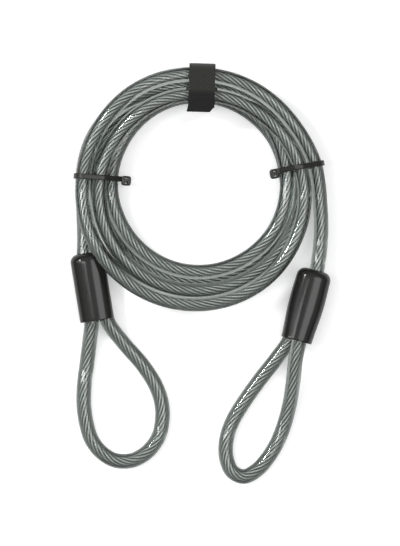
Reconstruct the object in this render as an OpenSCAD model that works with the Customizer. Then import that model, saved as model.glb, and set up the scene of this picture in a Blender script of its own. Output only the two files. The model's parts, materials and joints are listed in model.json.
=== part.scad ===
// Looped-end security cable, coiled flat for storage. Millimetres, +Z up from the surface it lies on,
// origin at the middle of its footprint, +Y from the two eyes towards the hook-and-loop strap.

/* [Cable] */
// Outside diameter of the plastic jacket
cable_d = 10; // [8:0.1:10]
// Diameter of the twisted steel rope inside the jacket
core_d = 4; // [3:0.1:5]
// Sides of the jacket's section
jacket_sides = 12; // [8:2:12]
// Sides of the rope's section
core_sides = 8; // [6:2:10]

/* [Coil] */
// Angle between two rings of the coiled tube
coil_step = 10; // [10:10:20]
// How far the strap's side of the coil is held off the surface
strap_lift = 2.8; // [2.8:0.1:4]

/* [Ferrules and boots] */
// Length of each aluminium crimp sleeve
ferrule_len = 24; // [20:1:26]
// Wall of the sleeve around each bore
ferrule_wall = 2; // [1.2:0.1:2.2]
// Radius of a boot's rounded shoulder
shoulder_r = 5.5; // [3:0.5:7]
// How deep the eye's two legs sit in a boot
leg_depth = 11; // [8:1:12]

/* [Cable ties] */
// Width of a tie's band
tie_w = 3.6; // [2.5:0.1:4.8]
// Thickness of a tie's band
tie_t = 1; // [0.8:0.1:1.1]
// Length and width of a tie's head
tie_head = 6.6; // [5:0.2:8]
// Thickness of a tie's head
tie_head_t = 4.6; // [3.6:0.2:6]

/* [Hook-and-loop strap] */
// Width of the strap
strap_w = 17.5; // [12:0.5:20]
// Thickness of each of the strap's two tapes
tape_t = 1; // [0.6:0.1:1]
// Length of the free end that peels open
tab_len = 8; // [6:1:12]
// Slope of the free end, down from level
tab_slope = 32; // [24:1:40]

/* [Hidden] */

cable_r = cable_d / 2;
fit = 0.1;                    // gap between nested pieces
core_r = core_d / 2;
jacket_bore_r = core_r + fit;

// The coil: radius and height of the cable's middle at every 30 degrees, anticlockwise from +X.
// One row is one turn. The cable starts on the outside at the right, and ends on the outside at the left.
coil_centre = [-1, 60, 0];
station_step = 30;
turn_radius = [
    80.5, 75.5, 74, 74, 76, 77, 78.2, 80.5, 81, 80.5, 78.5, 74.5,
    70.5, 65.5, 62, 60.8, 62, 64, 67, 70, 72, 71.5, 71, 70.5,
    70, 71, 71.5, 72, 71, 70, 68.5, 67.5, 66.5, 65.5, 64, 62,
    59.5, 59.5, 59.5, 60, 60, 59.5, 59.5, 59, 59, 59, 59, 59.5,
    59.5, 61.5, 65.5, 66, 71, 77.5, 78.4,
];
turn_height = [
    12, 16, 19, 20, 25, 24, 18.5, 20.5, 21, 19.5, 20, 21,
    19.5, 24.5, 23.5, 23.5, 23.5, 20.5, 17.5, 15, 14, 13.5, 12.5, 11.5,
    5, 5, 5, 5, 5, 5, 5, 5, 5, 5, 5, 5,
    5, 5, 5, 5, 5, 6, 10.5, 11.5, 12.5, 13, 14, 15,
    15.5, 15, 13.5, 13.5, 16, 12.5, 7.4,
];
coil_end = station_step * (len(turn_radius) - 1);

// Each boot: middle of its top face and middle of its mouth.
left_boot_line = [[-77, 13.9, 9.2], [-69.6, -31.6, 9.2]];
right_boot_line = [[77.7, 2.4, 10.4], [64.6, -45.1, 10.4]];
// Half the width and half the thickness of each boot, at its top, middle and mouth.
left_boot_half = [[11.6, 9.2], [11.6, 9.2], [11.6, 9.2]];
right_boot_half = [[11.6, 10.4], [12.1, 10.4], [10.6, 10.4]];
// Where the cable crosses a boot, outwards and up from its line: the lead, the leg that goes on
// into the eye, and the leg that comes back and ends in the ferrule.
left_seats = [[1.4, 0], [3.8, 0], [-6.6, 0]];
right_seats = [[0.8, 2], [2.1, 4.1], [-4.3, -4.1]];

// The free stretches between the coil and the boots, from the coil outwards.
left_lead_points = [[-79, 49, 8.6], [-78.6, 38, 8.7], [-78.2, 26, 8.9]];
right_lead_points = [[80.6, 47, 13.2], [81.3, 34, 13], [80.8, 20, 12.7]];
// The eyes, from the leg that comes out of the boot round to the leg that goes back in.
left_eye_points = [
    [-74.5, -44, 7], [-76.5, -60, 5], [-78.5, -76, 5], [-78.7, -89, 5], [-77, -101, 5],
    [-73.5, -112, 5], [-67, -120.5, 5], [-57.5, -126, 5], [-46, -126, 5], [-35.5, -120, 5],
    [-28.5, -110.5, 5], [-25.8, -99, 5], [-26.3, -87, 5], [-30.5, -75, 5], [-38.8, -62, 5],
    [-52.5, -46, 6.5],
];
right_eye_points = [
    [64.2, -57, 12.5], [62.6, -72, 9.5], [60.2, -88, 7], [56.5, -102, 5.5], [51.5, -114.5, 5],
    [45, -125, 5], [37.5, -133, 5], [29, -137, 5], [21.8, -134, 5], [18, -126.5, 5],
    [17, -118, 5], [18.5, -108, 5], [23, -97, 5], [29.5, -86.5, 5], [39, -73, 5], [51.5, -57, 5.5],
];

ferrule_r = core_r + fit + ferrule_wall;
strip_gap = 1.6;              // bare rope between a lead's jacket and its ferrule
boot_sides = 32;
boot_squareness = 0.85;       // power of the oval section: 1 is an ellipse, less is squarer
mouth_r = 0.8;                // softening of a boot's mouth

tie_gap = 0.45;               // between a tie's band and the turns it holds
left_tie_angle = 176;
right_tie_angle = 9.9;
left_tie_head = [49.1, 0.9, 13];      // radius, sideways and height
right_tie_head = [51.5, -1.6, 12];

strap_angle = 88.3;
strap_gap = 0.4;
strap_outer_fold = [78.7, 15];        // radius and height
strap_inner_fold = [54.6, 24.5];
fold_r = 0.5;
pile_gap = 0.3;               // height of the pressed pile between the strap and its free end
tab_slant = 3;                // how much the free end's corner is cut back

// ---- routes -----------------------------------------------------------------------------------------

function unit(v) = v / norm(v);

// A smooth curve through the values p, at place t counted in values.
function smooth(p, t) =
    let (i = min(max(floor(t), 0), len(p) - 2), u = t - i,
         a = p[max(i - 1, 0)], b = p[i], c = p[i + 1], d = p[min(i + 2, len(p) - 1)])
    0.5 * (2 * b + (c - a) * u + (2 * a - 5 * b + 4 * c - d) * u * u + (3 * b - a - 3 * c + d) * u * u * u);

// Radius and height of the cable's middle, angle degrees along the coil.
function turn_section(angle) =
    [smooth(turn_radius, angle / station_step),
     max(cable_r, smooth(turn_height, angle / station_step)) + strap_lift * (1 + sin(angle)) / 2];

function coil_point(angle) =
    let (s = turn_section(angle)) coil_centre + [s[0] * cos(angle), s[0] * sin(angle), s[1]];

// A place in a boot: along its line from the top face, outwards and up.
function boot_length(line) = norm(line[1] - line[0]);
function boot_outwards(line) =
    let (d = unit(line[1] - line[0]), out = sign(line[0][0])) [-d[1] * out, d[0] * out, 0];
function boot_place(line, along, seat) =
    line[0] + unit(line[1] - line[0]) * along + boot_outwards(line) * seat[0] + [0, 0, seat[1]];
function ferrule_top(line) = boot_length(line) - leg_depth - ferrule_len;
function ferrule_foot(line) = boot_length(line) - leg_depth;

// Lead, from the coil to where its jacket is cut back above the ferrule.
function lead_route(points, line, seats) =
    concat(points,
           [boot_place(line, 0, seats[0]), boot_place(line, ferrule_top(line) - strip_gap, seats[1])]);
// Eye, from the ferrule's lower face round to the same face again.
function eye_route(points, line, seats) =
    concat([boot_place(line, ferrule_foot(line), seats[1]), boot_place(line, boot_length(line), seats[1])],
           points,
           [boot_place(line, boot_length(line), seats[2]), boot_place(line, ferrule_foot(line), seats[2])]);
function tail_end(line, seats) = boot_place(line, ferrule_top(line) + 1, seats[2]);
function in_ferrule(line, seats) = boot_place(line, ferrule_top(line), seats[1]);

function backwards(list) = [for (i = [len(list) - 1:-1:0]) list[i]];

coil_route = [for (angle = [0:coil_step:coil_end]) coil_point(angle)];
left_lead = lead_route(left_lead_points, left_boot_line, left_seats);
right_lead = lead_route(right_lead_points, right_boot_line, right_seats);
left_eye = eye_route(left_eye_points, left_boot_line, left_seats);
right_eye = eye_route(right_eye_points, right_boot_line, right_seats);

// The whole cable, from its end in the left ferrule to its end in the right one.
cable = concat(
    [tail_end(left_boot_line, left_seats)], backwards(left_eye), [in_ferrule(left_boot_line, left_seats)],
    backwards(left_lead), backwards(coil_route), right_lead,
    [in_ferrule(right_boot_line, right_seats)], right_eye, [tail_end(right_boot_line, right_seats)]);
// Places in that list where one stretch ends and the next begins.
left_eye_first = 1;
left_eye_last = len(left_eye);
left_ferrule_top = left_eye_last + 1;
left_lead_first = left_ferrule_top + 1;
coil_first = left_lead_first + len(left_lead);
coil_last = coil_first + len(coil_route) - 1;
right_lead_last = coil_last + len(right_lead);
right_ferrule_top = right_lead_last + 1;
right_eye_first = right_ferrule_top + 1;
right_eye_last = right_ferrule_top + len(right_eye);
cable_last = len(cable) - 1;

function heading(i) = unit(cable[min(i + 1, cable_last)] - cable[max(i - 1, 0)]);

// One ring of points square to the cable at place i.
function ring(i, r, sides) =
    let (ahead = heading(i), side = unit(cross(ahead, [0, 0, 1])), up = cross(side, ahead))
    [for (k = [0:sides - 1]) cable[i] + r * (cos(360 * k / sides) * side + sin(360 * k / sides) * up)];

// ---- shapes -----------------------------------------------------------------------------------------

function flatten(list) = [for (row = list) each row];

// Side faces between rings of equal length, whose first point has the number start.
function skin(rings, sides, start = 0, inside = false) =
    [for (i = [0:rings - 2], k = [0:sides - 1])
        let (a = start + i * sides + k, b = start + i * sides + (k + 1) % sides,
             quad = [a, b, b + sides, a + sides])
        inside ? backwards(quad) : quad];

// A closed solid through a list of rings.
module loft(rings) {
    sides = len(rings[0]);
    last = (len(rings) - 1) * sides;
    near_end = [for (k = [sides - 1:-1:0]) k];
    far_end = [for (k = [0:sides - 1]) last + k];
    polyhedron(flatten(rings), concat([near_end], skin(len(rings), sides), [far_end]), convexity = 10);
}

// A rod along the cable, from one place in its list to another.
module rod(first, last, r, sides) loft([for (i = [first:last]) ring(i, r, sides)]);

// A pipe along the cable, with a bore of the same sides.
module pipe(first, last, r, bore_r, sides) {
    rings = last - first + 1;
    bore = rings * sides;
    // A flat ring of faces between the outside and the bore, from the point number first onwards.
    function rim(first) = [for (k = [0:sides - 1])
        let (a = first + k, b = first + (k + 1) % sides) [a, b, b + bore, a + bore]];
    near_end = [for (quad = rim(0)) backwards(quad)];
    far_end = rim(bore - sides);
    polyhedron(
        concat(flatten([for (i = [first:last]) ring(i, r, sides)]),
               flatten([for (i = [first:last]) ring(i, bore_r, sides)])),
        concat(skin(rings, sides), skin(rings, sides, bore, true), near_end, far_end), convexity = 20);
}

module jacket(first, last) color([0.52, 0.56, 0.53, 0.6])
    pipe(first, last, cable_r, jacket_bore_r, jacket_sides);
module wire_core(first, last) color("silver") rod(first, last, core_r, core_sides);

module coil_jacket() jacket(coil_first, coil_last);
module coil_wire_core() wire_core(coil_first, coil_last);
module left_lead_jacket() jacket(left_lead_first, coil_first);
module left_lead_wire_core() wire_core(left_ferrule_top, coil_first);
module right_lead_jacket() jacket(coil_last, right_lead_last);
module right_lead_wire_core() wire_core(coil_last, right_ferrule_top);
module left_eye_jacket() jacket(left_eye_first, left_eye_last);
module left_eye_wire_core() wire_core(0, left_ferrule_top);
module right_eye_jacket() jacket(right_eye_first, right_eye_last);
module right_eye_wire_core() wire_core(right_ferrule_top, cable_last);

// Puts children drawn along +Z at a place, pointing along a boot's line.
module along_boot(line, place) {
    d = unit(line[1] - line[0]);
    translate(place) rotate([0, 90, atan2(d[1], d[0])]) children();
}

// The oval outside of a ferrule, grown by grow, round both of its bores.
module ferrule_block(line, seats, grow = 0) {
    side = sign(line[0][0]);
    along_boot(line, boot_place(line, ferrule_top(line) - grow, [0, 0]))
        linear_extrude(ferrule_len + 2 * grow) hull()
            for (seat = [seats[1], seats[2]]) translate([-seat[1], side * seat[0]])
                circle(r = ferrule_r + grow, $fn = 48);
}

module ferrule(line, seats) color("lightgray") difference() {
    ferrule_block(line, seats);
    for (seat = [seats[1], seats[2]])
        along_boot(line, boot_place(line, ferrule_top(line) - 1, seat))
            cylinder(h = ferrule_len + 2, r = core_r + fit, $fn = 32);
}

module left_ferrule() ferrule(left_boot_line, left_seats);
module right_ferrule() ferrule(right_boot_line, right_seats);

// One cross-section of a boot, a rounded oval, inset from its full size.
function boot_ring(line, half, along, inset) =
    let (size = smooth(half, 2 * along / boot_length(line)) - [inset, inset],
         side = cross(unit(line[1] - line[0]), [0, 0, 1]))
    [for (k = [0:boot_sides - 1])
        let (c = cos(360 * k / boot_sides), s = sin(360 * k / boot_sides))
        boot_place(line, along, [0, 0]) + side * size[0] * sign(c) * pow(abs(c), boot_squareness)
            + [0, 0, size[1] * sign(s) * pow(abs(s), boot_squareness)]];

// The outside of a boot: a rounded shoulder at the top, a slight barrel, and a softened mouth.
module boot_shell(line, half) {
    shoulder = [for (a = [0:18:90]) [shoulder_r * (1 - cos(a)), shoulder_r * (1 - sin(a))]];
    side = [for (share = [0.3:0.2:0.9]) [boot_length(line) * share, 0]];
    mouth = [[boot_length(line) - mouth_r, 0], [boot_length(line), mouth_r]];
    loft([for (place = concat(shoulder, side, mouth)) boot_ring(line, half, place[0], place[1])]);
}

// A boot, with room inside for the ferrule and for the three stretches of cable that enter it.
module boot(line, half, seats, stretches) color([0.16, 0.15, 0.15]) difference() {
    boot_shell(line, half);
    ferrule_block(line, seats, fit);
    for (stretch = stretches) rod(stretch[0], stretch[1], cable_r + fit, jacket_sides);
}

module left_boot() boot(left_boot_line, left_boot_half, left_seats, [
    [left_ferrule_top, left_lead_first + 2], [left_eye_last - 2, left_eye_last],
    [left_eye_first, left_eye_first + 2]]);
module right_boot() boot(right_boot_line, right_boot_half, right_seats, [
    [right_lead_last - 2, right_ferrule_top], [right_eye_first, right_eye_first + 2],
    [right_eye_last - 2, right_eye_last]]);

// Moves children drawn with +X outwards along a radius, +Y along the cable, to an angle round the coil.
module at_angle(angle) translate(coil_centre) rotate([0, 0, angle]) children();

// Angle from a band's middle to its edge, at the innermost turn.
function half_span(width) = asin(width / 2 / min(turn_radius));

// What a band pulled tight round the coil encloses, in a plane of radius and height: every turn
// under the band's width, and the folds where the band stands clear.
module bundle_outline(angle, width, folds, grow) {
    hull() {
        for (turn = [0:floor((coil_end - angle) / 360)], off = [-half_span(width), 0, half_span(width)]) {
            section = turn_section(min(angle + off + 360 * turn, coil_end));
            translate([section[0] * cos(off), section[1]]) circle(r = cable_r + grow, $fn = 32);
        }
        for (fold = folds) translate(fold) circle(r = fold_r + grow, $fn = 32);
    }
}

// A closed band round the bundle, from inner to outer away from the turns.
module band(angle, width, folds, inner, outer) at_angle(angle) rotate([90, 0, 0])
    linear_extrude(width, center = true) difference() {
        bundle_outline(angle, width, folds, outer);
        bundle_outline(angle, width, folds, inner);
    }

// A tie: its band, and its head with the slot that the band's end was drawn through.
module cable_tie(angle, head) color([0.13, 0.13, 0.13]) {
    neck = [head[0] + tie_head / 2 + fold_r, head[2]];
    band(angle, tie_w, [neck], tie_gap, tie_gap + tie_t);
    at_angle(angle) translate(head) difference() {
        cube([tie_head, tie_head, tie_head_t], center = true);
        cube([tie_head / 4, tie_w, 2 * tie_head_t], center = true);
    }
}

module left_cable_tie() cable_tie(left_tie_angle, left_tie_head);
module right_cable_tie() cable_tie(right_tie_angle, right_tie_head);

strap_folds = [strap_inner_fold, strap_outer_fold];
module strap_tape(layer) {
    inner = strap_gap + layer * tape_t;
    band(strap_angle, strap_w, strap_folds, inner, inner + tape_t);
}
module strap_hook_tape() color([0.2, 0.2, 0.19]) strap_tape(0);
module strap_loop_tape() color([0.12, 0.12, 0.12]) strap_tape(1);

// The free end leaves the strap where the strap, bending over its highest turn, has reached its slope.
crest = let (s = turn_section(strap_angle + 360)) [s[0] * cos(half_span(strap_w)), s[1]];
tab_root = crest + (cable_r + strap_gap + 2 * tape_t + pile_gap) * [-sin(tab_slope), cos(tab_slope)];

module tab_tape(layer) at_angle(strap_angle) translate([tab_root[0], 0, tab_root[1]])
    rotate([0, 180 - tab_slope, 0]) translate([0, 0, -(layer + 1) * tape_t]) linear_extrude(tape_t)
        polygon([[0, -strap_w / 2], [tab_len - 1.5 * tab_slant, -strap_w / 2],
                 [tab_len, tab_slant - strap_w / 2], [tab_len, strap_w / 2], [0, strap_w / 2]]);
module strap_tab_hook_tape() color([0.2, 0.2, 0.19]) tab_tape(0);
module strap_tab_loop_tape() color([0.12, 0.12, 0.12]) tab_tape(1);

coil_jacket();
coil_wire_core();
left_lead_jacket();
left_lead_wire_core();
right_lead_jacket();
right_lead_wire_core();
left_eye_jacket();
left_eye_wire_core();
right_eye_jacket();
right_eye_wire_core();
left_ferrule();
right_ferrule();
left_boot();
right_boot();
left_cable_tie();
right_cable_tie();
strap_hook_tape();
strap_loop_tape();
strap_tab_hook_tape();
strap_tab_loop_tape();
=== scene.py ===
import json
import math

import bpy
import numpy as np
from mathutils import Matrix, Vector


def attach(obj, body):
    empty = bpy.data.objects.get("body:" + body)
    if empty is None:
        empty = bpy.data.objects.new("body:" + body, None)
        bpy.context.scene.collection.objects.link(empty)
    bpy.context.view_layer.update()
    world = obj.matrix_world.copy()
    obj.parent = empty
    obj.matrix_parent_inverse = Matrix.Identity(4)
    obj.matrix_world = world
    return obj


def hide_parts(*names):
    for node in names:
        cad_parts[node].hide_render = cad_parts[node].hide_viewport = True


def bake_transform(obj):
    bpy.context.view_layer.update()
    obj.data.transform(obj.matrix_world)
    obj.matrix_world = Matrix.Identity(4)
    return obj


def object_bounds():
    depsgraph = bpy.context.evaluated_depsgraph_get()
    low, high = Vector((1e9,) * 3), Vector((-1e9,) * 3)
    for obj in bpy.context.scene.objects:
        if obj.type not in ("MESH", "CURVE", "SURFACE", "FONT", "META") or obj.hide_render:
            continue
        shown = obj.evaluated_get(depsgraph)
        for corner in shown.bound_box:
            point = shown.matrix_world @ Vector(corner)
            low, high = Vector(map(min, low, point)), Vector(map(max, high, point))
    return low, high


# The looks of the looped-end security cable: +Z up from the surface it lies on, +Y towards the strap.
# Every Blender object is in metres. The routes and sections are worked out in millimetres, as in the CAD
# source, and are turned into metres with MM where a line or a mesh is made.
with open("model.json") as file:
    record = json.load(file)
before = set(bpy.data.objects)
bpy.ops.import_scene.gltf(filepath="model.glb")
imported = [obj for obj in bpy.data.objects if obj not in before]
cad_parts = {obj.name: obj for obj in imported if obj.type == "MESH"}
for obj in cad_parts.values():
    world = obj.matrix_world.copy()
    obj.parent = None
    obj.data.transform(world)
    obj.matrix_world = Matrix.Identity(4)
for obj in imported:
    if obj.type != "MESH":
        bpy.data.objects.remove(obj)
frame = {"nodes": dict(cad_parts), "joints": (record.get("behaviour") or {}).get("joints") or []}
cad_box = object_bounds()

MM = 0.001

# ---- sizes and routes, as in the CAD source -----------------------------------------------------------

CABLE_R = 5 * MM
CORE_R = 2 * MM
STRANDS = 6                     # round the rope's middle strand
LAY = 34 * MM                   # length of one whole turn of a strand
WIRE_LAY = 6 * MM               # the same for a wire inside a strand
WIRES_SEEN = 3                  # wires side by side on the outside of a strand
RING_STEP = 1 * MM              # between two rings of points along the cable
JACKET_SIDES = 32
STRAND_SIDES = 48               # of the section through all the strands

# The coil: radius and height of the cable's middle at every 30 degrees, anticlockwise from +X. One row is
# one turn.
COIL_CENTRE = np.array([-1, 60, 0])
STATION_STEP = 30
COIL_STEP = 10                  # degrees between two points of the cable's route
STRAP_LIFT = 2.8                # how far the coil's side under the strap is raised
TURN_RADIUS = [
    80.5, 75.5, 74, 74, 76, 77, 78.2, 80.5, 81, 80.5, 78.5, 74.5,
    70.5, 65.5, 62, 60.8, 62, 64, 67, 70, 72, 71.5, 71, 70.5,
    70, 71, 71.5, 72, 71, 70, 68.5, 67.5, 66.5, 65.5, 64, 62,
    59.5, 59.5, 59.5, 60, 60, 59.5, 59.5, 59, 59, 59, 59, 59.5,
    59.5, 61.5, 65.5, 66, 71, 77.5, 78.4,
]
TURN_HEIGHT = [
    12, 16, 19, 20, 25, 24, 18.5, 20.5, 21, 19.5, 20, 21,
    19.5, 24.5, 23.5, 23.5, 23.5, 20.5, 17.5, 15, 14, 13.5, 12.5, 11.5,
    5, 5, 5, 5, 5, 5, 5, 5, 5, 5, 5, 5,
    5, 5, 5, 5, 5, 6, 10.5, 11.5, 12.5, 13, 14, 15,
    15.5, 15, 13.5, 13.5, 16, 12.5, 7.4,
]
COIL_END = STATION_STEP * (len(TURN_RADIUS) - 1)

# Each boot: middle of its top face and of its mouth, half width and half thickness at top, middle and
# mouth, where the cable crosses it (outwards, up), and the stretches of cable next to it.
SIDES = {
    "left": {
        "line": [[-77, 13.9, 9.2], [-69.6, -31.6, 9.2]],
        "half": [[11.6, 9.2], [11.6, 9.2], [11.6, 9.2]],
        "seats": [[1.4, 0], [3.8, 0], [-6.6, 0]],
        "lead": [[-79, 49, 8.6], [-78.6, 38, 8.7], [-78.2, 26, 8.9]],
        "eye": [
            [-74.5, -44, 7], [-76.5, -60, 5], [-78.5, -76, 5], [-78.7, -89, 5], [-77, -101, 5],
            [-73.5, -112, 5], [-67, -120.5, 5], [-57.5, -126, 5], [-46, -126, 5], [-35.5, -120, 5],
            [-28.5, -110.5, 5], [-25.8, -99, 5], [-26.3, -87, 5], [-30.5, -75, 5], [-38.8, -62, 5],
            [-52.5, -46, 6.5],
        ],
    },
    "right": {
        "line": [[77.7, 2.4, 10.4], [64.6, -45.1, 10.4]],
        "half": [[11.6, 10.4], [12.1, 10.4], [10.6, 10.4]],
        "seats": [[0.8, 2], [2.1, 4.1], [-4.3, -4.1]],
        "lead": [[80.6, 47, 13.2], [81.3, 34, 13], [80.8, 20, 12.7]],
        "eye": [
            [64.2, -57, 12.5], [62.6, -72, 9.5], [60.2, -88, 7], [56.5, -102, 5.5], [51.5, -114.5, 5],
            [45, -125, 5], [37.5, -133, 5], [29, -137, 5], [21.8, -134, 5], [18, -126.5, 5],
            [17, -118, 5], [18.5, -108, 5], [23, -97, 5], [29.5, -86.5, 5], [39, -73, 5], [51.5, -57, 5.5],
        ],
    },
}
FERRULE_LEN = 24
LEG_DEPTH = 11                  # from a boot's mouth to its ferrule
SHOULDER_R = 5.5
BOOT_SQUARENESS = 0.85          # 1 is an ellipse, and 0 a rectangle

# Each tie: its place round the coil, and its head's middle (radius, along the cable, height).
TIES = {
    "left": {"angle": 176, "head": [49.1, 0.9, 13]},
    "right": {"angle": 9.9, "head": [51.5, -1.6, 12]},
}
TIE_W, TIE_T, TIE_GAP = 3.6, 1.0, 0.45
TIE_HEAD, TIE_HEAD_T = 6.6, 4.6

# The strap: its place round the coil, its size, and where it folds clear of the turns (radius, height).
STRAP_ANGLE = 88.3
STRAP_W, TAPE_T, STRAP_GAP = 17.5, 1.0, 0.4
STRAP_OUTER_FOLD = [78.7, 15]
STRAP_INNER_FOLD = [54.6, 24.5]
FOLD_R, PILE_GAP = 0.5, 0.3
TAB_LEN, TAB_SLOPE, TAB_SLANT = 8, 32, 3
TWILL = 2.2                     # between two of the slanting rows in the tapes' weave
BAND_STEP = 0.3                 # between two rows of points along a tie or the strap


# ---- numbers ------------------------------------------------------------------------------------------

def unit(v):
    return np.asarray(v, float) / np.linalg.norm(v)


def smooth(p, t):
    """A smooth curve through the values p, at place t counted in values."""
    i = min(max(math.floor(t), 0), len(p) - 2)
    u = t - i
    a, b, c, d = (np.asarray(p[j], float) for j in (max(i - 1, 0), i, i + 1, min(i + 2, len(p) - 1)))
    return 0.5 * (2 * b + (c - a) * u + (2 * a - 5 * b + 4 * c - d) * u ** 2
                  + (3 * b - a - 3 * c + d) * u ** 3)


def turn_section(angle):
    """Radius and height of the cable's middle, angle degrees along the coil."""
    place = angle / STATION_STEP
    lift = STRAP_LIFT * (1 + math.sin(math.radians(angle))) / 2
    return smooth(TURN_RADIUS, place), max(CABLE_R / MM, smooth(TURN_HEIGHT, place)) + lift


def coil_point(angle):
    r, z = turn_section(angle)
    a = math.radians(angle)
    return COIL_CENTRE + [r * math.cos(a), r * math.sin(a), z]


def boot_length(side):
    line = np.array(side["line"], float)
    return np.linalg.norm(line[1] - line[0])


def boot_place(side, along, seat=(0, 0)):
    """A place in a boot: along its line from the top face, outwards and up."""
    line = np.array(side["line"], float)
    ahead = unit(line[1] - line[0])
    outwards = np.sign(line[0][0]) * np.array([-ahead[1], ahead[0], 0])
    return line[0] + ahead * along + outwards * seat[0] + np.array([0, 0, seat[1]])


def end_route(side):
    """Route points from the coil to the cable's end in the ferrule, through the lead and the eye."""
    length = boot_length(side)
    foot, top = length - LEG_DEPTH, length - LEG_DEPTH - FERRULE_LEN
    lead, main, tail = side["seats"]
    return [*side["lead"], boot_place(side, 0, lead), boot_place(side, top, main),
            boot_place(side, foot, main), boot_place(side, length, main), *side["eye"],
            boot_place(side, length, tail), boot_place(side, foot, tail), boot_place(side, top + 1, tail)]


def curve_through(points, step):
    """Evenly spaced points, step apart, on a smooth curve through the given ones."""
    points = np.array(points, float)
    t = np.concatenate([[0], np.cumsum(np.linalg.norm(np.diff(points, axis=0), axis=1))])
    slope = np.gradient(points, t, axis=0)
    at = np.linspace(0, t[-1], int(t[-1] / step * 4))
    i = np.clip(np.searchsorted(t, at, side="right") - 1, 0, len(t) - 2)
    h = (t[i + 1] - t[i])[:, None]
    u = (at - t[i])[:, None] / h
    fine = ((2 * u ** 3 - 3 * u ** 2 + 1) * points[i] + (u ** 3 - 2 * u ** 2 + u) * h * slope[i]
            + (3 * u ** 2 - 2 * u ** 3) * points[i + 1] + (u ** 3 - u ** 2) * h * slope[i + 1])
    return evenly(fine, step)


def evenly(line, step):
    """The line again, with points step apart."""
    along = np.concatenate([[0], np.cumsum(np.linalg.norm(np.diff(line, axis=0), axis=1))])
    at = np.linspace(0, along[-1], max(2, round(along[-1] / step) + 1))
    return np.stack([np.interp(at, along, line[:, k]) for k in range(3)], axis=1)


def carried_frames(line):
    """Two directions square to a line at each of its points, carried along it without twisting."""
    ahead = np.gradient(line, axis=0)
    ahead /= np.linalg.norm(ahead, axis=1)[:, None]
    side = np.zeros_like(ahead)
    side[0] = unit(np.cross(ahead[0], [0, 0, 1]))
    for i in range(1, len(line)):
        side[i] = unit(side[i - 1] - ahead[i] * (side[i - 1] @ ahead[i]))
    return side, np.cross(side, ahead)


def nearest(line, point):
    """Index of the line's point nearest to a point."""
    return int(np.linalg.norm(line - np.asarray(point), axis=1).argmin())


# ---- camera -------------------------------------------------------------------------------------------

VIEW_LENGTH = 0.3689            # of the picture's long side, on the surface the cable lies on
CAMERA_HEIGHT = 5
CAMERA_AT = (-0.0003, 0.0004)   # it looks straight down from here


def make_camera():
    data = bpy.data.cameras.new("camera")
    data.sensor_width = 36
    data.lens = data.sensor_width * CAMERA_HEIGHT / VIEW_LENGTH
    camera = bpy.data.objects.new("camera", data)
    camera.location = (*CAMERA_AT, CAMERA_HEIGHT)
    bpy.context.scene.collection.objects.link(camera)
    bpy.context.scene.camera = camera


# ---- meshes -------------------------------------------------------------------------------------------

def make_piece(name, points, faces, material, uv=None, flat_faces=()):
    """A smooth-shaded mesh object. uv gives one (u, v) per corner of every face, in order."""
    mesh = bpy.data.meshes.new(name)
    mesh.from_pydata(np.asarray(points).tolist(), [], faces)
    mesh.polygons.foreach_set("use_smooth", [True] * len(faces))
    for i in flat_faces:
        mesh.polygons[i].use_smooth = False
    if uv is not None:
        mesh.uv_layers.new(name="along").data.foreach_set("uv", np.asarray(uv, float).ravel())
    mesh.materials.append(material)
    piece = bpy.data.objects.new(name, mesh)
    bpy.context.scene.collection.objects.link(piece)
    return piece


def tube_faces(rows, cols, ring=False):
    """Quads over rows of points, each row a closed loop of cols points. The last row is joined to the
    first in a ring, and otherwise a face closes each end."""
    i, k = np.meshgrid(np.arange(rows if ring else rows - 1), np.arange(cols), indexing="ij")
    after = (i + 1) % rows
    here, beside = i * cols + k, i * cols + (k + 1) % cols
    ahead, aslant = after * cols + k, after * cols + (k + 1) % cols
    sides = np.stack([here, ahead, aslant, beside], axis=-1).reshape(-1, 4).tolist()
    ends = [list(range(cols)), list(range((rows - 1) * cols, rows * cols))[::-1]]
    return sides if ring else sides + ends


def tube_uv(around, along):
    """(u, v) at the corners of tube_faces; around has one more value than a row has points."""
    cols = len(around) - 1
    i, k = np.meshgrid(np.arange(len(along) - 1), np.arange(cols), indexing="ij")
    u0, u1, v0, v1 = around[k], around[k + 1], along[i], along[i + 1]
    sides = np.stack([u0, v0, u0, v1, u1, v1, u1, v0], axis=-1).reshape(-1, 2)
    return np.concatenate([sides, np.zeros((2 * cols, 2))])


def make_tube(name, line, side, up, section, twist, material):
    """A closed tube round a line. section gives radius at evenly spread angles, twist the angle per metre."""
    sides = len(section)
    along = np.arange(len(line)) * np.linalg.norm(np.diff(line, axis=0), axis=1).mean()
    angle = 2 * np.pi * np.arange(sides) / sides + twist(along)[:, None]
    points = (line[:, None] + section[None, :, None]
              * (np.cos(angle)[..., None] * side[:, None] + np.sin(angle)[..., None] * up[:, None]))
    uv = tube_uv(np.arange(sides + 1) / sides, along)
    return make_piece(name, points.reshape(-1, 3), tube_faces(len(line), sides), material, uv, (-2, -1))


# ---- materials ----------------------------------------------------------------------------------------

def new_material(name):
    """An empty node material, with its node and link makers and its output."""
    material = bpy.data.materials.new(name)
    material.use_nodes = True
    tree = material.node_tree
    tree.nodes.clear()
    return material, tree.nodes.new, tree.links.new, tree.nodes.new("ShaderNodeOutputMaterial")


def set_inputs(node, **values):
    for name, value in values.items():
        node.inputs[name.replace("_", " ")].default_value = value
    return node


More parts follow.
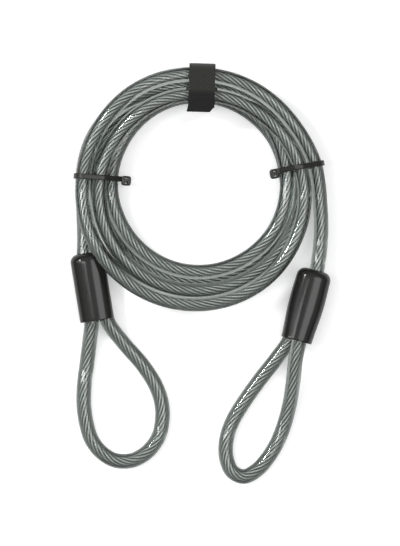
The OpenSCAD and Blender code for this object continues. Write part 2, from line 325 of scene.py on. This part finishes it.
def jacket_material():
    """Clear smoky PVC: it bends the view like glass, is faintly uneven, and darkens what lies deep in it."""
    material, node, link, output = new_material("smoky_pvc")
    shell = set_inputs(node("ShaderNodeBsdfPrincipled"), Base_Color=(1, 1, 1, 1), Roughness=0.03,
                       IOR=1.5, Transmission_Weight=1)
    place = node("ShaderNodeTexCoord")
    waves = set_inputs(node("ShaderNodeTexNoise"), Scale=110, Detail=1)
    bump = set_inputs(node("ShaderNodeBump"), Strength=0.05, Distance=0.0003)
    link(place.outputs["Object"], waves.inputs["Vector"])
    link(waves.outputs["Fac"], bump.inputs["Height"])
    link(bump.outputs["Normal"], shell.inputs["Normal"])
    # Light from lamps, and light that pieces scatter, goes straight through, so that it reaches the rope.
    straight = node("ShaderNodeBsdfTransparent")
    ray = node("ShaderNodeLightPath")
    surface = shell
    for kind in ("Is Diffuse Ray", "Is Shadow Ray"):
        mix = node("ShaderNodeMixShader")
        link(ray.outputs[kind], mix.inputs[0])
        link(surface.outputs[0], mix.inputs[1])
        link(straight.outputs[0], mix.inputs[2])
        surface = mix
    link(surface.outputs[0], output.inputs["Surface"])
    smoke = set_inputs(node("ShaderNodeVolumeAbsorption"), Color=(0.50, 0.535, 0.515, 1), Density=240)
    link(smoke.outputs[0], output.inputs["Volume"])
    return material


def math_node(node, link, operation, value, *others):
    """A math node fed by a socket, with numbers or sockets for its other inputs. Gives its output."""
    made = node("ShaderNodeMath")
    made.operation = operation
    link(value, made.inputs[0])
    for i, other in enumerate(others, 1):
        if isinstance(other, (int, float)):
            made.inputs[i].default_value = other
        else:
            link(other, made.inputs[i])
    return made.outputs[0]


def wire_material():
    """Galvanised zinc strands, with painted shade that darkens the grooves between them, and fine wires along
    them.
    """
    material, node, link, output = new_material("galvanised_wire")
    metal = set_inputs(node("ShaderNodeBsdfPrincipled"), Metallic=0.6, Roughness=0.6)
    split = node("ShaderNodeSeparateXYZ")
    link(node("ShaderNodeUVMap").outputs[0], split.inputs[0])
    around, along = split.outputs["X"], split.outputs["Y"]
    # The wires of a strand run a little steeper than the strand itself.
    lean = math_node(node, link, "MULTIPLY", along, 2 * math.pi / WIRE_LAY)
    ridge = math_node(node, link, "SINE", math_node(
        node, link, "MULTIPLY_ADD", around, 2 * math.pi * STRANDS * WIRES_SEEN, lean))
    bump = set_inputs(node("ShaderNodeBump"), Strength=0.15, Distance=0.00005)
    link(ridge, bump.inputs["Height"])
    link(bump.outputs["Normal"], metal.inputs["Normal"])
    # Painted shade: the colour darkens from each strand's crown into the grooves between the strands.
    crown = math_node(node, link, "COSINE", math_node(node, link, "MULTIPLY", around, 2 * math.pi * STRANDS))
    depth = node("ShaderNodeValToRGB")
    stops = depth.color_ramp.elements
    stops[0].position, stops[0].color = 0.1, (0.12, 0.13, 0.125, 1)
    stops[1].position, stops[1].color = 0.85, (0.64, 0.675, 0.65, 1)
    link(math_node(node, link, "MULTIPLY_ADD", crown, 0.5, 0.5), depth.inputs[0])
    spots = set_inputs(node("ShaderNodeTexNoise"), Scale=900, Detail=4)
    link(node("ShaderNodeTexCoord").outputs["Object"], spots.inputs["Vector"])
    share = math_node(node, link, "MULTIPLY_ADD", spots.outputs["Fac"], 0.8, 0.6)
    tint = node("ShaderNodeMix")
    tint.data_type, tint.blend_type = "RGBA", "MULTIPLY"
    tint.inputs[0].default_value = 1
    link(depth.outputs[0], tint.inputs[6])
    link(share, tint.inputs[7])
    link(tint.outputs[2], metal.inputs["Base Color"])
    link(metal.outputs[0], output.inputs["Surface"])
    return material


def plain_material(name, color, roughness, grain, depth, metallic=0.0, specular=0.5):
    """A moulded or pressed surface: one colour with slight mottling, and a fine uneven grain."""
    material, node, link, output = new_material(name)
    shell = set_inputs(node("ShaderNodeBsdfPrincipled"), Metallic=metallic, Roughness=roughness,
                       Specular_IOR_Level=specular)
    place = node("ShaderNodeTexCoord")
    noise = set_inputs(node("ShaderNodeTexNoise"), Scale=grain, Detail=4)
    link(place.outputs["Object"], noise.inputs["Vector"])
    ramp = node("ShaderNodeValToRGB")
    for element, share in zip(ramp.color_ramp.elements, (0.8, 1.25)):
        element.color = (*[c * share for c in color], 1)
    link(noise.outputs["Fac"], ramp.inputs[0])
    link(ramp.outputs[0], shell.inputs["Base Color"])
    bump = set_inputs(node("ShaderNodeBump"), Strength=0.3, Distance=depth)
    link(noise.outputs["Fac"], bump.inputs["Height"])
    link(bump.outputs["Normal"], shell.inputs["Normal"])
    link(shell.outputs[0], output.inputs["Surface"])
    return material


def tape_material(name, first, last, reach, rows):
    """Woven tape: slanting rows of yarn, worn unevenly, going from one colour to another along reach mm,
    which paints shade where a tape slopes away from the lamps.
    The mesh's (u, v) is the place on the tape in millimetres, across and along."""
    material, node, link, output = new_material(name)
    cloth = set_inputs(node("ShaderNodeBsdfPrincipled"), Roughness=0.9, Specular_IOR_Level=0.15,
                       Sheen_Weight=0.15)
    split = node("ShaderNodeSeparateXYZ")
    link(node("ShaderNodeUVMap").outputs[0], split.inputs[0])
    across, along = split.outputs["X"], split.outputs["Y"]
    slant = math_node(node, link, "ADD", across, along)
    yarn = math_node(node, link, "SINE", math_node(node, link, "MULTIPLY", slant, 2 * math.pi / TWILL))
    place = node("ShaderNodeTexCoord")
    wear = set_inputs(node("ShaderNodeTexNoise"), Scale=260, Detail=3)
    pile = set_inputs(node("ShaderNodeTexNoise"), Scale=2200, Detail=3)
    for noise in (wear, pile):
        link(place.outputs["Object"], noise.inputs["Vector"])
    patches = math_node(node, link, "MULTIPLY_ADD", wear.outputs["Fac"], 3.0, -1.1)
    worn = math_node(node, link, "MULTIPLY", math_node(node, link, "MULTIPLY", yarn, rows), patches)
    fuzz = math_node(node, link, "MULTIPLY_ADD", pile.outputs["Fac"], 0.9, 0.55)
    share = math_node(node, link, "ADD", fuzz, worn)
    # Going from the first colour to the last along reach paints shade onto the free end's slope.
    fade = set_inputs(node("ShaderNodeMapRange"), From_Max=reach)
    link(along, fade.inputs["Value"])
    colour_and_shade = node("ShaderNodeMix")
    colour_and_shade.data_type = "RGBA"
    link(fade.outputs[0], colour_and_shade.inputs[0])
    colour_and_shade.inputs[6].default_value, colour_and_shade.inputs[7].default_value = (*first, 1), (*last, 1)
    tint = node("ShaderNodeMix")
    tint.data_type, tint.blend_type = "RGBA", "MULTIPLY"
    tint.inputs[0].default_value = 1
    link(colour_and_shade.outputs[2], tint.inputs[6])
    link(share, tint.inputs[7])
    link(tint.outputs[2], cloth.inputs["Base Color"])
    bump = set_inputs(node("ShaderNodeBump"), Strength=0.5, Distance=0.0003)
    link(pile.outputs["Fac"], bump.inputs["Height"])
    link(bump.outputs["Normal"], cloth.inputs["Normal"])
    link(cloth.outputs[0], output.inputs["Surface"])
    return material


jacket_look = jacket_material()
wire_look = wire_material()
boot_look = plain_material("black_soft_plastic", (0.012, 0.0115, 0.011), 0.15, 120, 0.0001, specular=0.35)
tie_look = plain_material("black_nylon", (0.013, 0.013, 0.012), 0.32, 900, 0.0001, specular=0.4)
ferrule_look = plain_material("pressed_aluminium", (0.75, 0.75, 0.76), 0.4, 500, 0.0001, metallic=1)
# The free end's darker colour is painted shade, for its slope that faces away from the lamps.
STRAP_COLOR, TAB_SHADE_COLOR = (0.026, 0.0265, 0.0235), (0.012, 0.012, 0.0125)
strap_look = tape_material("black_twill", STRAP_COLOR, STRAP_COLOR, 1, 0.8)
tab_look = tape_material("black_twill_painted_shade", STRAP_COLOR, TAB_SHADE_COLOR, 3, 0.25)


# ---- the cable ----------------------------------------------------------------------------------------

coil_points = [coil_point(a) for a in range(0, COIL_END + 1, COIL_STEP)]
cable_points = [*end_route(SIDES["left"])[::-1], *coil_points[::-1], *end_route(SIDES["right"])]
cable_line = curve_through(cable_points, RING_STEP / MM) * MM
cable_side, cable_up = carried_frames(cable_line)


def place_on_cable(point):
    return nearest(cable_line, np.asarray(point) * MM)


def strand_section():
    """Outside of six round strands laid round a middle one of the same size."""
    strand_r = CORE_R / 3
    lobe = 2 * math.pi / STRANDS
    off = (2 * np.pi * np.arange(STRAND_SIDES) / STRAND_SIDES + lobe / 2) % lobe - lobe / 2
    middle = 2 * strand_r
    return middle * np.cos(off) + np.sqrt(np.maximum(strand_r ** 2 - (middle * np.sin(off)) ** 2, 0))


def make_stretch(name, first, last, body):
    """One stretch of cable: its clear jacket and, inside it, the twisted strands. body is the name of the
    body that it rides on; anything else, such as the two bodies and two points of a blend, leaves the stretch
    where it is, on no body."""
    index = slice(first, last + 1)
    line, side, up = cable_line[index], cable_side[index], cable_up[index]
    start = first * RING_STEP
    jacket = make_tube(name + "_jacket_clear", line, side, up, np.full(JACKET_SIDES, CABLE_R),
                       lambda s: 0 * s, jacket_look)
    core = make_tube(name + "_wire_strands", line, side, up, strand_section(),
                     lambda s: -2 * np.pi * (s + start) / LAY, wire_look)
    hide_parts(name + "_jacket")
    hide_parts(name + "_wire_core")
    for piece in (jacket, core):
        if isinstance(body, str):
            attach(piece, body)
        else:
            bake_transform(piece)


make_camera()

WHOLE_TURNS = 4                 # before the cable comes to the left tie for the last time
STRAIGHT_FROM = 9               # how far above its boot the far point given with a lead lies


def in_boot(side, along, seat):
    return place_on_cable(boot_place(side, along, side["seats"][seat]))


def make_cable():
    """The leads are cut from the coil where the cable's outermost turn crosses the ties."""
    left_cut = place_on_cable(coil_point(360 * WHOLE_TURNS + TIES["left"]["angle"]))
    right_cut = place_on_cable(coil_point(TIES["right"]["angle"]))
    make_stretch("coil", left_cut, right_cut, "coil")
    for name, cut in (("left", left_cut), ("right", right_cut)):
        side = SIDES[name]
        foot = boot_length(side) - LEG_DEPTH
        lead_end = in_boot(side, foot - FERRULE_LEN - 1, 1)
        eye = sorted((in_boot(side, foot, 1), in_boot(side, foot, 2)))
        hinge = next(j for j in frame["joints"] if j["name"] == name + "_end_swing")
        near, far = np.array(hinge["pos_m"]), boot_place(side, -STRAIGHT_FROM) * MM
        make_stretch(name + "_lead", *sorted((cut, lead_end)), ("coil", name + "_end", near, far))
        make_stretch(name + "_eye", *eye, name + "_end")


make_cable()

# ---- boots --------------------------------------------------------------------------------------------

BOOT_SIDES = 96
LIP_R = 0.6                     # of the rounded edge at a boot's mouth
MOUTH_DEPTH = 2.4
MOUTH_TAPER = 0.1               # how much narrower the mouth is than the lip leaves it


def boot_ring(side, along, inset):
    """One cross-section of a boot, a rounded oval, inset from its full size."""
    half = smooth(side["half"], 2 * along / boot_length(side)) - inset
    ahead = unit(np.subtract(side["line"][1], side["line"][0]))
    across = np.cross(ahead, [0, 0, 1])
    a = 2 * np.pi * np.arange(BOOT_SIDES) / BOOT_SIDES
    c, s = np.cos(a), np.sin(a)
    x = half[0] * np.sign(c) * np.abs(c) ** BOOT_SQUARENESS
    z = half[1] * np.sign(s) * np.abs(s) ** BOOT_SQUARENESS
    return boot_place(side, along) + x[:, None] * across + z[:, None] * np.array([0, 0, 1])


def make_boot(name, side):
    """A boot: rounded shoulder, slight barrel, and a rounded lip round a shallow hollow mouth."""
    length = boot_length(side)
    shoulder = [(SHOULDER_R * (1 - math.cos(a)), SHOULDER_R * (1 - math.sin(a)))
                for a in np.linspace(0, math.pi / 2, 14)]
    middle = [(length * share, 0) for share in np.linspace(0.16, 0.96, 28)]
    lip = [(length - LIP_R * (1 - math.sin(a)), LIP_R * (1 - math.cos(a)))
           for a in np.linspace(0, math.pi, 11)]
    hollow = [(length - depth, 2 * LIP_R + MOUTH_TAPER) for depth in (1.2, 1.8, MOUTH_DEPTH)]
    rings = [boot_ring(side, along, inset) for along, inset in shoulder + middle + lip + hollow]
    points = np.concatenate(rings) * MM
    boot = make_piece(name + "_boot_moulded", points, tube_faces(len(rings), BOOT_SIDES), boot_look,
                      flat_faces=(-2, -1))
    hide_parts(name + "_boot")
    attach(boot, name + "_end")


for name, side in SIDES.items():
    make_boot(name, side)

# ---- bands round the coil -----------------------------------------------------------------------------

def half_span(width):
    """Angle from a band's middle to its edge, at the innermost turn."""
    return math.degrees(math.asin(width / 2 / min(TURN_RADIUS)))


def under_band(angle, off):
    """Middle of a turn, in the plane of radius and height at angle, where it crosses that plane plus off."""
    radius, height = turn_section(min(angle + off, COIL_END))
    return radius * math.cos(math.radians(off)), height


def bundle_circles(angle, width, folds):
    """What a band pulled tight round the coil runs over, as radius, height and size: every turn under
    its width, and the folds where it stands clear."""
    turns = range(int((COIL_END - angle) // 360) + 1)
    offs = (-half_span(width), 0, half_span(width))
    return np.array([(*under_band(angle + 360 * turn, off), CABLE_R / MM) for turn in turns for off in offs]
                    + [(*fold, FOLD_R) for fold in folds])


def wrap(circles, grow):
    """A line pulled tight round circles and grow outside them: evenly spaced points, and the way out."""
    angle = np.radians(np.arange(361))
    out = np.stack([np.cos(angle), np.sin(angle)], axis=1)
    middle, radius = circles[:, :2], circles[:, 2]
    touched = (middle @ out.T + radius[:, None]).argmax(axis=0)
    line = middle[touched] + (radius[touched] + grow)[:, None] * out
    along = np.concatenate([[0], np.cumsum(np.linalg.norm(np.diff(line, axis=0), axis=1))])
    at = np.linspace(0, along[-1], round(along[-1] / BAND_STEP), endpoint=False)
    line, out = (np.stack([np.interp(at, along, v[:, k]) for k in range(2)], axis=1) for v in (line, out))
    return line, out / np.linalg.norm(out, axis=1)[:, None]


def coil_axes(angle):
    """Outwards, along the cable, and up, at an angle round the coil."""
    c, s = math.cos(math.radians(angle)), math.sin(math.radians(angle))
    return np.array([c, s, 0]), np.array([-s, c, 0]), np.array([0, 0, 1])


def sweep(name, angle, line, out, section, material, ring=True):
    """A closed section, (across, outwards) for each of its points, along a line of radius and height. Its
    (u, v) is the place on the band, across and along."""
    radial, across, up = coil_axes(angle)
    middle = COIL_CENTRE + line[:, :1] * radial + line[:, 1:] * up
    away = out[:, :1] * radial + out[:, 1:] * up
    points = middle[:, None] + section[..., :1] * across + section[..., 1:] * away[:, None]
    rows, cols = points.shape[:2]
    faces = tube_faces(rows, cols, ring)
    along = np.broadcast_to(np.arange(rows)[:, None] * BAND_STEP, (rows, cols))
    place = np.stack([section[..., 0], along], axis=-1)
    corners = np.concatenate([np.asarray(face) for face in faces])
    return make_piece(name, points.reshape(-1, 3) * MM, faces, material, place.reshape(-1, 2)[corners])


# ---- cable ties ---------------------------------------------------------------------------------------

TOOTH = 1.2                     # between two teeth of a tie
TOOTH_DEPTH = 0.2
# Half of a tie band's section, across and outwards: its teeth lie between two rails on the inside.
TIE_RAIL = np.array([[1.1, -0.25], [1.25, -0.5], [1.65, -0.5], [1.8, -0.3], [1.8, 0.2], [1.6, 0.43],
                     [1.1, 0.5], [0, 0.44]])
# Section of a tie's head, from the window to the outside, and from the bottom to the top.
HEAD_SECTION = np.array([[0, -0.85], [0.1, -1], [0.75, -1], [0.93, -0.85], [1, -0.5], [1, 0.35],
                         [0.94, 0.72], [0.8, 0.92], [0.55, 1], [0.14, 1], [0, 0.85]])


def squarish(half_x, half_y, power, count=72):
    """Points round a rectangle with rounded corners, which are tighter at a smaller power."""
    a = 2 * np.pi * np.arange(count) / count
    c, s = np.cos(a), np.sin(a)
    x, y = half_x * np.sign(c) * np.abs(c) ** power, half_y * np.sign(s) * np.abs(s) ** power
    return np.stack([x, y], axis=1)


def make_tie_band(name, angle, head):
    neck = (head[0] + TIE_HEAD / 2 + FOLD_R, head[2])
    line, out = wrap(bundle_circles(angle, TIE_W, [neck]), TIE_GAP + TIE_T / 2)
    half = np.concatenate([TIE_RAIL, TIE_RAIL[-2::-1] * [-1, 1]])
    section = np.repeat(half[None], len(line), axis=0)
    tooth = np.arange(len(line)) * BAND_STEP / TOOTH % 1
    section[:, (0, -1), 1] -= TOOTH_DEPTH * tooth[:, None]
    return sweep(name + "_tie_band", angle, line, out, section, tie_look)


def make_tie_head(name, angle, head):
    """The moulded head: a block with rounded edges round a window."""
    rim, window = squarish(TIE_HEAD / 2, TIE_HEAD / 2, 0.5), squarish(TIE_HEAD / 8, TIE_W / 2, 0.35)
    radial, across, up = coil_axes(angle)
    flat = window[:, None] + (rim - window)[:, None] * HEAD_SECTION[None, :, :1]
    points = (COIL_CENTRE + radial * (head[0] + flat[..., :1]) + across * (head[1] + flat[..., 1:])
              + up * (head[2] + HEAD_SECTION[None, :, 1:] * TIE_HEAD_T / 2))
    faces = tube_faces(*points.shape[:2], ring=True)
    return make_piece(name + "_tie_head", points.reshape(-1, 3) * MM, faces, tie_look)


def make_tie_post(name, angle, head, off, half_x, half_y, top):
    """What fills a head's window: a bar through it, off its middle, that ends top above the head."""
    radial, across, up = coil_axes(angle)
    sides = 24
    # How high each ring is as a share of the bar's length, and how big as a share of its section.
    places = [(-0.42, 0.9), (-0.38, 1), (0.4, 1), (0.47, 1), (0.5, 0.86)]
    length = TIE_HEAD_T + 2 * top
    rings = [COIL_CENTRE + radial * (head[0] + off) + across * head[1] + up * (head[2] + length * height)
             + squarish(half_x * share, half_y * share, 0.4, sides)[::-1] @ np.array([radial, across])
             for height, share in places]
    return make_piece(name, np.concatenate(rings) * MM, tube_faces(len(rings), sides), tie_look,
                      flat_faces=(-2, -1))


for name, tie in TIES.items():
    at = (tie["angle"], tie["head"])
    for piece in (make_tie_band(name, *at), make_tie_head(name, *at),
                  make_tie_post(name + "_tie_tail", *at, off=-0.25, half_x=0.5, half_y=1.6, top=0.9),
                  make_tie_post(name + "_tie_pawl", *at, off=0.5, half_x=0.25, half_y=1.5, top=-0.5)):
        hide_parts(name + "_cable_tie")
        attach(piece, "coil")

# ---- hook-and-loop strap ------------------------------------------------------------------------------

SELVEDGE = 1.3                  # width of the plain woven edge
PICK = 0.8                      # between two threads across the tape, which notch its edges
NOTCH = 0.06
EDGE_R = 0.5                    # a tape's edges are rounded over this width
STRAP_RIB, TAB_RIB = 0.1, 0.04  # height of the rows in the weave
TAPE_COLS = 45
SURFACE_GAP = 0.15              # the free end stands this proud of the strap that it comes out of
UNDER_TAPE_RISE = 0.6           # the free end's lower tape starts once the upper has risen this far
TAB_START = 63.5                # radius at which the free end comes out of the strap
TAB_FLARE = 1.0                 # how much wider the free end is at its tip
TAB_ROW_STEP = 0.25
SLANT_LEN = 1.5 * TAB_SLANT     # how far along the free end its corner is cut back


def tape_section(at, low, high, taper, rib):
    """Sections of a woven tape at the places at along it, between its two edges, thinner by taper."""
    share = np.linspace(0, 1, TAPE_COLS)
    at, taper = at[:, None], taper[:, None]
    pick = np.sin(2 * np.pi * at / PICK)
    notch = NOTCH * pick
    across = low[:, None] + notch + (high - low - 2 * notch[:, 0])[:, None] * share
    from_edge = np.minimum(across - low[:, None], high[:, None] - across)
    rounding = np.sqrt(1 - (1 - np.clip(from_edge / EDGE_R, 0, 1)) ** 2)
    half = TAPE_T / 2 * (0.3 + 0.7 * rounding) * taper
    rows = np.sin(2 * np.pi * (at + across) / TWILL)
    twill = np.where(from_edge < SELVEDGE, 0.7 * pick, rows) * rib
    under = np.stack([across, twill - half], axis=-1)
    over = np.stack([across, twill + half], axis=-1)[:, ::-1]
    return np.concatenate([under, over], axis=1)


strap_circles = bundle_circles(STRAP_ANGLE, STRAP_W, [STRAP_INNER_FOLD, STRAP_OUTER_FOLD])


def make_strap_tape(name, layer):
    line, out = wrap(strap_circles, STRAP_GAP + (layer + 0.5) * TAPE_T)
    at = np.arange(len(line)) * BAND_STEP
    edge = np.full(len(line), STRAP_W / 2)
    section = tape_section(at, -edge, edge, np.ones(len(line)), STRAP_RIB)
    return sweep(name + "_woven", STRAP_ANGLE, line, out, section, strap_look)


def tab_line():
    """The free end's way over the strap and down its slope: points on the turns' skin, the way out, how
    far along each is, and how far the free end's upper tape stands from the turns there."""
    line, out = wrap(strap_circles, 0)
    lean = np.degrees(np.arctan2(out[:, 1], out[:, 0]))
    on_strap = (line[:, 0] < TAB_START) & (lean > 45) & (lean < 90 + TAB_SLOPE)
    line, out, lean = line[on_strap], out[on_strap], lean[on_strap]
    slope = math.radians(90 + TAB_SLOPE)
    free = np.arange(0, TAB_LEN + 0.01, TAB_ROW_STEP)
    ahead = np.array([-math.sin(slope), math.cos(slope)])
    root = line[-1]
    line = np.concatenate([line, root + free[1:, None] * ahead])
    out = np.concatenate([out, np.repeat([[math.cos(slope), math.sin(slope)]], len(free) - 1, axis=0)])
    lift = np.concatenate([np.clip((lean - 88) / (TAB_SLOPE + 2), 0, 1), np.ones(len(free) - 1)])
    lift = lift * lift * (3 - 2 * lift)
    low = STRAP_GAP + 2 * TAPE_T + SURFACE_GAP - TAPE_T / 2
    high = STRAP_GAP + 3.5 * TAPE_T + PILE_GAP
    past_root = np.concatenate([np.zeros(len(lean)), free[1:]])
    return line, out, past_root, low + (high - low) * lift


def make_tab_tape(name, layer):
    line, out, past_root, rise = tab_line()
    line = line + out * (rise - (1 - layer) * TAPE_T)[:, None]
    keep = rise > rise.min() + (1 - layer) * UNDER_TAPE_RISE - 0.01
    line, out, past_root = line[keep], out[keep], past_root[keep]
    at = np.concatenate([[0], np.cumsum(np.linalg.norm(np.diff(line, axis=0), axis=1))])
    slant = np.clip((past_root - TAB_LEN + SLANT_LEN) / SLANT_LEN, 0, 1) * TAB_SLANT
    low = slant - STRAP_W / 2
    high = STRAP_W / 2 + TAB_FLARE * (past_root / TAB_LEN) ** 2
    to_end = at[-1] - at
    taper = 0.35 + 0.65 * np.sqrt(1 - (1 - np.clip(to_end / EDGE_R, 0, 1)) ** 2)
    section = tape_section(at, low, high, taper, TAB_RIB)
    return sweep(name + "_woven", STRAP_ANGLE, line, out, section, tab_look, ring=False)


strap_pieces = {name: make_strap_tape(name, layer)
                for layer, name in enumerate(("strap_hook_tape", "strap_loop_tape"))}
tab_pieces = {name: make_tab_tape(name, layer)
              for layer, name in enumerate(("strap_tab_hook_tape", "strap_tab_loop_tape"))}
for name, piece in {**strap_pieces, **tab_pieces}.items():
    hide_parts(name)
for piece in strap_pieces.values():
    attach(piece, "coil")

for piece in tab_pieces.values():
    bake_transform(piece)

# ---- CAD pieces that stay -----------------------------------------------------------------------------

def dress(node, material):
    mesh = frame["nodes"][node].data
    mesh.materials.clear()
    mesh.materials.append(material)


for node in ("left_ferrule", "right_ferrule"):
    dress(node, ferrule_look)


# ---- floor and light ----------------------------------------------------------------------------------

FLOOR_HALF = 8.0
FLOOR_GAP = 0.0002              # keeps the floor off the faces that rest on it


def make_floor():
    material, node, link, output = new_material("pale_floor")
    shell = set_inputs(node("ShaderNodeBsdfPrincipled"), Base_Color=(0.95, 0.95, 0.95, 1), Roughness=0.9)
    # Seen directly, the floor glows a little, as a lit table does, so that shadows on it stay faint.
    glow = math_node(node, link, "MULTIPLY", node("ShaderNodeLightPath").outputs["Is Camera Ray"], 0.22)
    shell.inputs["Emission Color"].default_value = (1, 1, 1, 1)
    link(glow, shell.inputs["Emission Strength"])
    link(shell.outputs[0], output.inputs["Surface"])
    corners = [(x * FLOOR_HALF, y * FLOOR_HALF, 0) for x, y in ((-1, -1), (1, -1), (1, 1), (-1, 1))]
    floor = make_piece("floor", corners, [[0, 1, 2, 3]], material)
    floor.location.z = cad_box[0].z - FLOOR_GAP


LAMP_DISTANCE = 1.6


def make_light(name, direction, size, watts, length=None):
    """A soft lamp facing the middle of the object: round, or a strip of the given length along Y."""
    data = bpy.data.lights.new(name, "AREA")
    data.shape = "RECTANGLE" if length else "DISK"
    data.size = size
    data.size_y = length or size
    data.energy = watts
    light = bpy.data.objects.new(name, data)
    away = unit(direction)
    light.location = away * LAMP_DISTANCE
    light.rotation_mode = "QUATERNION"
    light.rotation_quaternion = Vector(-away).to_track_quat("-Z", "Y")
    light.visible_camera = False
    bpy.context.scene.collection.objects.link(light)


def make_lights():
    make_light("key", (-0.61, 0.35, 0.71), 0.25, 10)
    make_light("strip", (-0.56, 0.05, 0.83), 0.1, 5, length=1.4)
    make_light("soft", (0.4, 0.0, 0.92), 1.0, 8)
    # The studio is bright overhead and dim at the horizon.
    world = bpy.data.worlds.new("studio")
    world.use_nodes = True
    node, link = world.node_tree.nodes.new, world.node_tree.links.new
    split = node("ShaderNodeSeparateXYZ")
    link(node("ShaderNodeTexCoord").outputs["Generated"], split.inputs[0])
    height = math_node(node, link, "MULTIPLY_ADD", split.outputs["Z"], 0.8, 0.04)
    link(height, world.node_tree.nodes["Background"].inputs["Strength"])
    world.node_tree.nodes["Background"].inputs["Color"].default_value = (1, 1, 1, 1)
    bpy.context.scene.world = world


make_floor()
make_lights()
bpy.context.scene.view_settings.view_transform = "Standard"
